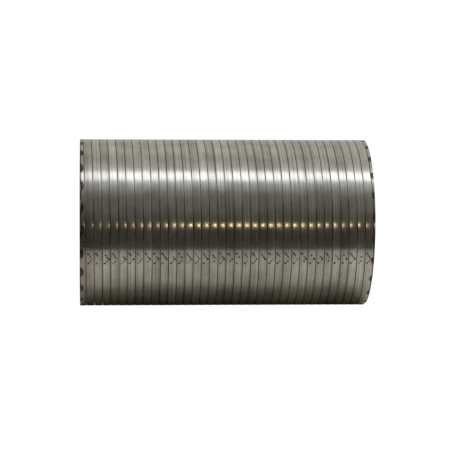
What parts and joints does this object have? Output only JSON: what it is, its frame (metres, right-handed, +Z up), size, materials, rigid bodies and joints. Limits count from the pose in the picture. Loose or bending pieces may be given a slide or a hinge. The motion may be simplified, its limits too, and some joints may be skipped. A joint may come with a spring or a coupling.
{
  "type": "metal bellows expansion joint",
  "caption": "Short straight length of strip-wound interlocked steel hose that stretches, shortens and bends between two rigid pipe ends.",
  "frame": {"origin": "centre of the square-cut inlet end, on the tube's axis", "axes": "+X along the tube's axis from the inlet end to the outlet end, +Z up, -Y towards the side with the ink ticks"},
  "size_m": [0.2286, 0.1336, 0.1336],
  "materials": {
    "strip_steel": "satin, brushed round the tube by the winding, warm grey",
    "weld_metal": "dull, heat-tinted brown and straw spots"
  },
  "bodies": {
    "inlet_end": {"inlet_inner_rim": "strip_steel", "inlet_cut_turn": "strip_steel", "turn_01": "strip_steel", "inlet_tack_welds": "weld_metal"},
    "turn_02": {"turn_02": "strip_steel"},
    "turn_03": {"turn_03": "strip_steel"},
    "turn_04": {"turn_04": "strip_steel"},
    "turn_05": {"turn_05": "strip_steel"},
    "turn_06": {"turn_06": "strip_steel"},
    "turn_07": {"turn_07": "strip_steel"},
    "turn_08": {"turn_08": "strip_steel"},
    "turn_09": {"turn_09": "strip_steel"},
    "turn_10": {"turn_10": "strip_steel"},
    "turn_11": {"turn_11": "strip_steel"},
    "turn_12": {"turn_12": "strip_steel"},
    "turn_13": {"turn_13": "strip_steel"},
    "turn_14": {"turn_14": "strip_steel"},
    "turn_15": {"turn_15": "strip_steel"},
    "turn_16": {"turn_16": "strip_steel"},
    "turn_17": {"turn_17": "strip_steel"},
    "turn_18": {"turn_18": "strip_steel"},
    "turn_19": {"turn_19": "strip_steel"},
    "turn_20": {"turn_20": "strip_steel"},
    "turn_21": {"turn_21": "strip_steel"},
    "turn_22": {"turn_22": "strip_steel"},
    "turn_23": {"turn_23": "strip_steel"},
    "turn_24": {"turn_24": "strip_steel"},
    "turn_25": {"turn_25": "strip_steel"},
    "turn_26": {"turn_26": "strip_steel"},
    "turn_27": {"turn_27": "strip_steel"},
    "turn_28": {"turn_28": "strip_steel"},
    "turn_29": {"turn_29": "strip_steel"},
    "turn_30": {"turn_30": "strip_steel"},
    "turn_31": {"turn_31": "strip_steel"},
    "turn_32": {"turn_32": "strip_steel"},
    "turn_33": {"turn_33": "strip_steel"},
    "turn_34": {"turn_34": "strip_steel"},
    "outlet_end": {"turn_35": "strip_steel", "outlet_outer_rim": "strip_steel", "outlet_tack_welds": "weld_metal"}
  },
  "joints": [
    {"name": "bend_to_near_side", "type": "hinge", "parent": "inlet_end", "child": "turn_02", "pos_m": [0.01003, -0.06667, 0], "axis": [0, 0, -1], "range_deg": [0, 1.3]},
    {"name": "stretch", "type": "slide", "parent": "turn_02", "child": "turn_03", "axis": [1, 0, 0], "range_m": [-0.0001, 0.0031]},
    {"name": "bend_up", "type": "hinge", "parent": "turn_03", "child": "turn_04", "pos_m": [0.0228, 0, 0.06667], "axis": [0, -1, 0], "range_deg": [0, 1.3]},
    {"name": "bend_to_far_side", "type": "hinge", "parent": "turn_04", "child": "turn_05", "pos_m": [0.02918, 0.06667, 0], "axis": [0, 0, 1], "range_deg": [0, 1.3]},
    {"name": "stretch_06", "type": "slide", "parent": "turn_05", "child": "turn_06", "axis": [1, 0, 0], "range_m": [-0.0001, 0.0031]},
    {"name": "bend_down", "type": "hinge", "parent": "turn_06", "child": "turn_07", "pos_m": [0.04195, 0, -0.06667], "axis": [0, 1, 0], "range_deg": [0, 1.3]},
    {"name": "bend_to_near_side_08", "type": "hinge", "parent": "turn_07", "child": "turn_08", "pos_m": [0.04834, -0.06667, 0], "axis": [0, 0, -1], "range_deg": [0, 1.3]},
    {"name": "stretch_09", "type": "slide", "parent": "turn_08", "child": "turn_09", "axis": [1, 0, 0], "range_m": [-0.0001, 0.0031]},
    {"name": "bend_up_10", "type": "hinge", "parent": "turn_09", "child": "turn_10", "pos_m": [0.06111, 0, 0.06667], "axis": [0, -1, 0], "range_deg": [0, 1.3]},
    {"name": "bend_to_far_side_11", "type": "hinge", "parent": "turn_10", "child": "turn_11", "pos_m": [0.06749, 0.06667, 0], "axis": [0, 0, 1], "range_deg": [0, 1.3]},
    {"name": "stretch_12", "type": "slide", "parent": "turn_11", "child": "turn_12", "axis": [1, 0, 0], "range_m": [-0.0001, 0.0031]},
    {"name": "bend_down_13", "type": "hinge", "parent": "turn_12", "child": "turn_13", "pos_m": [0.08027, 0, -0.06667], "axis": [0, 1, 0], "range_deg": [0, 1.3]},
    {"name": "bend_to_near_side_14", "type": "hinge", "parent": "turn_13", "child": "turn_14", "pos_m": [0.08665, -0.06667, 0], "axis": [0, 0, -1], "range_deg": [0, 1.3]},
    {"name": "stretch_15", "type": "slide", "parent": "turn_14", "child": "turn_15", "axis": [1, 0, 0], "range_m": [-0.0001, 0.0031]},
    {"name": "bend_up_16", "type": "hinge", "parent": "turn_15", "child": "turn_16", "pos_m": [0.09942, 0, 0.06667], "axis": [0, -1, 0], "range_deg": [0, 1.3]},
    {"name": "bend_to_far_side_17", "type": "hinge", "parent": "turn_16", "child": "turn_17", "pos_m": [0.1058, 0.06667, 0], "axis": [0, 0, 1], "range_deg": [0, 1.3]},
    {"name": "stretch_18", "type": "slide", "parent": "turn_17", "child": "turn_18", "axis": [1, 0, 0], "range_m": [-0.0001, 0.0031]},
    {"name": "bend_down_19", "type": "hinge", "parent": "turn_18", "child": "turn_19", "pos_m": [0.11857, 0, -0.06667], "axis": [0, 1, 0], "range_deg": [0, 1.3]},
    {"name": "bend_to_near_side_20", "type": "hinge", "parent": "turn_19", "child": "turn_20", "pos_m": [0.12496, -0.06667, 0], "axis": [0, 0, -1], "range_deg": [0, 1.3]},
    {"name": "stretch_21", "type": "slide", "parent": "turn_20", "child": "turn_21", "axis": [1, 0, 0], "range_m": [-0.0001, 0.0031]},
    {"name": "bend_up_22", "type": "hinge", "parent": "turn_21", "child": "turn_22", "pos_m": [0.13773, 0, 0.06667], "axis": [0, -1, 0], "range_deg": [0, 1.3]},
    {"name": "bend_to_far_side_23", "type": "hinge", "parent": "turn_22", "child": "turn_23", "pos_m": [0.14411, 0.06667, 0], "axis": [0, 0, 1], "range_deg": [0, 1.3]},
    {"name": "stretch_24", "type": "slide", "parent": "turn_23", "child": "turn_24", "axis": [1, 0, 0], "range_m": [-0.0001, 0.0031]},
    {"name": "bend_down_25", "type": "hinge", "parent": "turn_24", "child": "turn_25", "pos_m": [0.15688, 0, -0.06667], "axis": [0, 1, 0], "range_deg": [0, 1.3]},
    {"name": "bend_to_near_side_26", "type": "hinge", "parent": "turn_25", "child": "turn_26", "pos_m": [0.16327, -0.06667, 0], "axis": [0, 0, -1], "range_deg": [0, 1.3]},
    {"name": "stretch_27", "type": "slide", "parent": "turn_26", "child": "turn_27", "axis": [1, 0, 0], "range_m": [-0.0001, 0.0031]},
    {"name": "bend_up_28", "type": "hinge", "parent": "turn_27", "child": "turn_28", "pos_m": [0.17604, 0, 0.06667], "axis": [0, -1, 0], "range_deg": [0, 1.3]},
    {"name": "bend_to_far_side_29", "type": "hinge", "parent": "turn_28", "child": "turn_29", "pos_m": [0.18243, 0.06667, 0], "axis": [0, 0, 1], "range_deg": [0, 1.3]},
    {"name": "stretch_30", "type": "slide", "parent": "turn_29", "child": "turn_30", "axis": [1, 0, 0], "range_m": [-0.0001, 0.0031]},
    {"name": "bend_down_31", "type": "hinge", "parent": "turn_30", "child": "turn_31", "pos_m": [0.1952, 0, -0.06667], "axis": [0, 1, 0], "range_deg": [0, 1.3]},
    {"name": "bend_to_near_side_32", "type": "hinge", "parent": "turn_31", "child": "turn_32", "pos_m": [0.20158, -0.06667, 0], "axis": [0, 0, -1], "range_deg": [0, 1.3]},
    {"name": "stretch_33", "type": "slide", "parent": "turn_32", "child": "turn_33", "axis": [1, 0, 0], "range_m": [-0.0001, 0.0031]},
    {"name": "bend_up_34", "type": "hinge", "parent": "turn_33", "child": "turn_34", "pos_m": [0.21435, 0, 0.06667], "axis": [0, -1, 0], "range_deg": [0, 1.3]},
    {"name": "bend_to_far_side_35", "type": "hinge", "parent": "turn_34", "child": "outlet_end", "pos_m": [0.22073, 0.06667, 0], "axis": [0, 0, 1], "range_deg": [0, 1.3]}
  ],
  "couplings": [
    {"joint": "bend_to_near_side_08", "follows": "bend_to_near_side", "ratio": 1},
    {"joint": "bend_to_near_side_14", "follows": "bend_to_near_side", "ratio": 1},
    {"joint": "bend_to_near_side_20", "follows": "bend_to_near_side", "ratio": 1},
    {"joint": "bend_to_near_side_26", "follows": "bend_to_near_side", "ratio": 1},
    {"joint": "bend_to_near_side_32", "follows": "bend_to_near_side", "ratio": 1},
    {"joint": "stretch_06", "follows": "stretch", "ratio": 1},
    {"joint": "stretch_09", "follows": "stretch", "ratio": 1},
    {"joint": "stretch_12", "follows": "stretch", "ratio": 1},
    {"joint": "stretch_15", "follows": "stretch", "ratio": 1},
    {"joint": "stretch_18", "follows": "stretch", "ratio": 1},
    {"joint": "stretch_21", "follows": "stretch", "ratio": 1},
    {"joint": "stretch_24", "follows": "stretch", "ratio": 1},
    {"joint": "stretch_27", "follows": "stretch", "ratio": 1},
    {"joint": "stretch_30", "follows": "stretch", "ratio": 1},
    {"joint": "stretch_33", "follows": "stretch", "ratio": 1},
    {"joint": "bend_up_10", "follows": "bend_up", "ratio": 1},
    {"joint": "bend_up_16", "follows": "bend_up", "ratio": 1},
    {"joint": "bend_up_22", "follows": "bend_up", "ratio": 1},
    {"joint": "bend_up_28", "follows": "bend_up", "ratio": 1},
    {"joint": "bend_up_34", "follows": "bend_up", "ratio": 1},
    {"joint": "bend_to_far_side_11", "follows": "bend_to_far_side", "ratio": 1},
    {"joint": "bend_to_far_side_17", "follows": "bend_to_far_side", "ratio": 1},
    {"joint": "bend_to_far_side_23", "follows": "bend_to_far_side", "ratio": 1},
    {"joint": "bend_to_far_side_29", "follows": "bend_to_far_side", "ratio": 1},
    {"joint": "bend_to_far_side_35", "follows": "bend_to_far_side", "ratio": 1},
    {"joint": "bend_down_13", "follows": "bend_down", "ratio": 1},
    {"joint": "bend_down_19", "follows": "bend_down", "ratio": 1},
    {"joint": "bend_down_25", "follows": "bend_down", "ratio": 1},
    {"joint": "bend_down_31", "follows": "bend_down", "ratio": 1}
  ]
}
